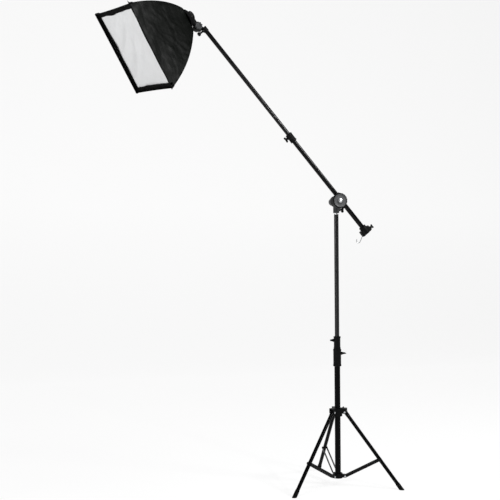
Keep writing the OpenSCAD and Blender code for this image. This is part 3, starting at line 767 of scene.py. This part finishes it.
def sink(side, s, t):
    """How far the stretched cloth lies inside the straight line between its two ribs."""
    seed, half = SEEDS[side], outline(s)[0][0] * CORNER[1 - SIDES[side][0]]
    free = 1 - t * t
    pulled = (7.5 * math.sin(math.pi * min(1.0, s * 1.05)) ** 0.8 + 2.0 * s) * free
    edge = smooth(1 - abs(t), 0.0, 0.12) * smooth(s, 0.0, 0.08) * smooth(1 - s, 0.0, 0.06)
    x, y = t * half / 100, s * RIB_LEN / 100
    broad = noise.noise(Vector((x * 0.9 + seed, y * 0.7, seed))) * 5.0
    # Long folds that fan from the ring, and slanting ones that pull between the corners
    fan = math.sin(t * 9.5 + 2.2 * noise.noise(Vector((y, seed, t))) + seed) * 1.5
    fan *= math.exp(-(((s - 0.14) / 0.13) ** 2))
    slant = noise.noise(Vector(((x + y * 0.9) * 2.3 + seed, (y - x) * 0.55, seed * 2)))
    slant = (1 - abs(slant) * 2.2) * 2.6 * math.exp(-(((s - 0.55) / 0.3) ** 2))
    fine = noise.noise(Vector((x * 4.1, y * 3.3, seed + 7))) * 0.3
    pucker = 0.45 * math.sin(s * RIB_LEN / 2.3 + seed) * math.exp(-(1 - abs(t)) * half / 9)
    hollow = max(0.0, pulled + (broad + fan + slant + fine) * edge)
    return hollow + max(0.0, pucker * smooth(1 - s, 0, 0.05) + 0.2)


def panel_point(side, s, t, inside):
    """A point of a panel, inside its straight outer face by its sink and that much more."""
    axis, sign = SIDES[side]
    (d, z), angle = outline(s)
    drop = sink(side, s, t) + inside
    out, across = d * CORNER[axis], t * d * CORNER[1 - axis]
    # The panel's own slope, which is steeper than the corner line's
    slope = math.atan2(math.sin(angle) * CORNER[axis], math.cos(angle))
    out -= drop * math.cos(slope)
    z += drop * math.sin(slope)
    # The mitred edges follow the cloth in
    across *= 1 - drop * math.cos(slope) / (d * CORNER[axis]) * abs(t) ** 8
    p = [0.0, 0.0, z]
    p[axis], p[1 - axis] = sign * out, sign * across
    return tuple(p)


ROWS, COLUMNS = 61, 57
SPANS = [-1 + 2 * k / (COLUMNS - 1) for k in range(COLUMNS)]
CLOTH = 1.0


def layered(rows, columns, outer, inner, flat):
    """Two layers of a patch joined round its edge: (points, faces), uv and face materials."""
    count = rows * columns
    faces = grid(rows, columns)
    which = [0] * len(faces)
    faces += [tuple(i + count for i in reversed(f)) for f in grid(rows, columns)]
    which += [1] * (len(faces) - len(which))
    rim = list(range(columns))
    rim += [i * columns + columns - 1 for i in range(1, rows)]
    rim += [(rows - 1) * columns + k for k in range(columns - 2, -1, -1)]
    rim += [i * columns for i in range(rows - 2, 0, -1)]
    for a, b in zip(rim, rim[1:] + rim[:1]):
        faces.append((a, b, b + count, a + count))
        which.append(0)
    return (outer + inner, faces), flat * 2, which


def panel(side):
    stations = [i / (ROWS - 1) for i in range(ROWS)]
    axis = SIDES[side][0]
    outer, inner = (
        [panel_point(side, s, t, inside) for s in stations for t in SPANS]
        for inside in (0.0, CLOTH)
    )
    flat = [(t * outline(s)[0][0] * CORNER[1 - axis], s * RIB_LEN) for s in stations for t in SPANS]
    shape, uv, which = layered(ROWS, COLUMNS, outer, inner, flat)
    made = piece(
        f"cloth_{side}", shape, "softbox", ["cloth", "silver"],
        BOX, [f"panel_{side}"], 60, uv, which,
    )


RECESS, BAND = 12.0, 20.0
BAND_Z, BAND_THICK = 346.9, 0.7
DIFFUSER_Z, DIFFUSER_THICK = 344.9, 0.5
HEM_START = 1 - RECESS / math.cos(A2) / RIB_LEN


def combined(parts):
    """Several layered patches as one shape, with their flat patterns and face materials."""
    shape = joined(*(p[0] for p in parts))
    return shape, [c for p in parts for c in p[1]], [w for p in parts for w in p[2]]


def front_hem():
    """The cloth turned in at the front edge, down to the diffuser."""
    parts = []
    stations = [HEM_START + (1 - HEM_START) * j / 5 for j in range(6)]
    for side in SIDES:
        half = FRONT * CORNER[1 - SIDES[side][0]]
        outer, inner = (
            [panel_point(side, s, t, inside) for s in stations for t in SPANS]
            for inside in (CLOTH + 0.5, 2 * CLOTH + 0.4)
        )
        flat = [(t * half, (s - HEM_START) * RIB_LEN) for s in stations for t in SPANS]
        parts.append(layered(len(stations), len(SPANS), outer, inner, flat))
    shape, uv, _ = combined(parts)
    made = piece(
        "cloth_hem", shape, "softbox", ["binding"], BOX, ["front_hem"], 50, uv
    )


def diffuser_band():
    """The black border that holds the diffuser, slack between its corners."""
    parts, steps = [], 7
    for side in SIDES:
        axis, sign = SIDES[side]
        outer, inner, flat = [], [], []
        half = (FRONT - 9) * CORNER[1 - axis]
        for j in range(steps):
            for t in SPANS:
                edge = panel_point(side, HEM_START, t, 2 * CLOTH + 0.5)
                wave = noise.noise(Vector((t * 2.3, SEEDS[side], 5.0)))
                slack = (1.5 + 7.0 * wave) * (1 - t * t)
                width = (BAND + slack) * j / (steps - 1)
                p = list(edge)
                p[axis] = edge[axis] - sign * width
                p[1 - axis] = edge[1 - axis] - width * t * abs(t) ** 3
                ripple = noise.noise(Vector((t * 7.0, j * 0.3, SEEDS[side] + 9.0)))
                p[2] = BAND_Z + 0.5 * ripple * (j / (steps - 1))
                outer.append(tuple(p))
                inner.append((p[0], p[1], p[2] - BAND_THICK))
                flat.append((t * half, width))
        parts.append(layered(steps, len(SPANS), outer, inner, flat))
    shape, uv, _ = combined(parts)
    made = piece(
        "cloth_band", shape, "softbox", ["binding"], BOX, ["diffuser_band"], 50, uv
    )


def diffuser():
    """The white front cloth: a little slack, with soft folds that slant across it."""
    rows, columns = 73, 89
    edge = FRONT - 10.0
    half_w, half_h = edge * CORNER[0] - 1, edge * CORNER[1] - 1
    outer, inner, flat = [], [], []
    for j in range(rows):
        y = -1 + 2 * j / (rows - 1)
        for k in range(columns):
            x = -1 + 2 * k / (columns - 1)
            free = (1 - x ** 4) * (1 - y ** 4)
            u, v = x * half_w / 100, y * half_h / 100
            fold = noise.noise(Vector(((u + v) * 0.95 + 4.0, (u - v) * 0.28, 3.0)))
            second = noise.noise(Vector(((u - v * 0.8) * 0.7, (u + v) * 0.4, 12.0)))
            fine = noise.noise(Vector((u * 2.4, v * 2.4, 21.0)))
            z = DIFFUSER_Z - free * (5.0 + 17.0 * abs(fold) + 7.0 * second + 1.5 * fine)
            outer.append((x * half_w, y * half_h, z))
            inner.append((x * half_w, y * half_h, z - DIFFUSER_THICK))
            flat.append((x * half_w, y * half_h))
    shape, uv, _ = layered(rows, columns, outer, inner, flat)
    made = piece(
        "cloth_diffuser", shape, "softbox", ["diffuser"], BOX, ["diffuser"], 60, uv
    )


def corner_line(sx, sy, start, end, count, lift):
    """(point, side, outward) along one corner of the box, lift millimetres off the cloth."""
    line = []
    out = Vector((sx * CORNER[0], sy * CORNER[1], 0))
    for i in range(count):
        (d, z), angle = outline(start + (end - start) * i / (count - 1), -lift)
        side = Vector((-out.y, out.x, 0))
        outward = out * math.cos(angle) - Vector((0, 0, math.sin(angle)))
        line.append((Vector((out.x * d, out.y * d, z)), side, outward))
    return line


def corner_trim():
    """Piping, rod pockets and stitches of the four corner seams, as lists of shapes."""
    cord, pockets, stitches = [], [], []
    dashes = 88
    for sx in (-1, 1):
        for sy in (-1, 1):
            line = corner_line(sx, sy, 0.0, 1.0, 70, 0.1)
            cord.append(sweep(line, superellipse(1.5, 1.2, 2, 10)))
            tabs = []
            for i, (p, side, up) in enumerate(corner_line(sx, sy, 0.94, 0.996, 12, 0.3)):
                full = min(1.0, 0.35 + i / 2.2, 0.5 + (11 - i) / 2.0)
                tab = superellipse(7.0, 2.4, 3, 20)
                tabs.append([tuple(p + side * u * full + up * v * full) for u, v in tab])
            pockets.append(loft(tabs))
            for shift in (-4.5, 4.5):
                for i in range(1, dashes):
                    start, end = corner_line(sx, sy, i / dashes, (i + 0.45) / dashes, 2, -0.9)
                    p, side, up = start
                    q = end[0]
                    dash = [(p + side * shift, side, up), (q + side * shift, side, up)]
                    stitches.append(sweep(dash, superellipse(0.35, 0.3, 2, 6)))
    return cord, pockets, stitches


def bound_edge():
    """The binding that closes the front between the cloth and its hem, one strip a side."""
    strips = []
    for side, (axis, sign) in SIDES.items():
        out = Vector((sign, 0, 0) if axis == 0 else (0, sign, 0))
        line = [
            (Vector(panel_point(side, 0.994, t, 1.2)), out, Vector((0, 0, 1)))
            for t in SPANS
        ]
        strips.append(sweep(line, superellipse(2.3, 2.3, 3, 12)))
    return strips


def ring_cuff():
    """An elastic cuff that gathers the back of the cloth onto the ring."""
    sides = 288
    cuff = [(48.05, -15.5), (49.4, -15.5), (50.6, -12), (50.9, -5), (50.3, 1.5), (48.05, 2)]
    cuff = rounded(cuff, 1.0, 3)
    gathered = range(3, len(cuff) - 3)

    def wave(a, i):
        return 0.55 * math.sin(64 * a + 2 * math.sin(5 * a)) if i in gathered else 0

    shape = bored(lathe(cuff, sides, wave), sides)
    around = [(50 * math.atan2(p[1], p[0]), p[2]) for p in shape[0]]
    piece("ring_cuff", shape, "softbox", ["webbing"], BOX, (), 50, around)


def trim():
    cord, pockets, stitches = corner_trim()
    webbing = joined(*pockets, *bound_edge())
    uv = [(p[0], p[1] + p[2]) for p in webbing[0]]
    piece("seam_piping", joined(*cord), "softbox", ["thread"], BOX)
    piece("rod_pockets", webbing, "softbox", ["webbing"], BOX, (), 50, uv)
    piece("seam_stitches", joined(*stitches), "softbox", ["thread"], BOX)
    ring_cuff()


def softbox():
    for side in SIDES:
        panel(side)
    front_hem()
    diffuser_band()
    diffuser()
    trim()


camera()
stage()
dress_nodes()
knobs()
feet()
collars()
softbox()
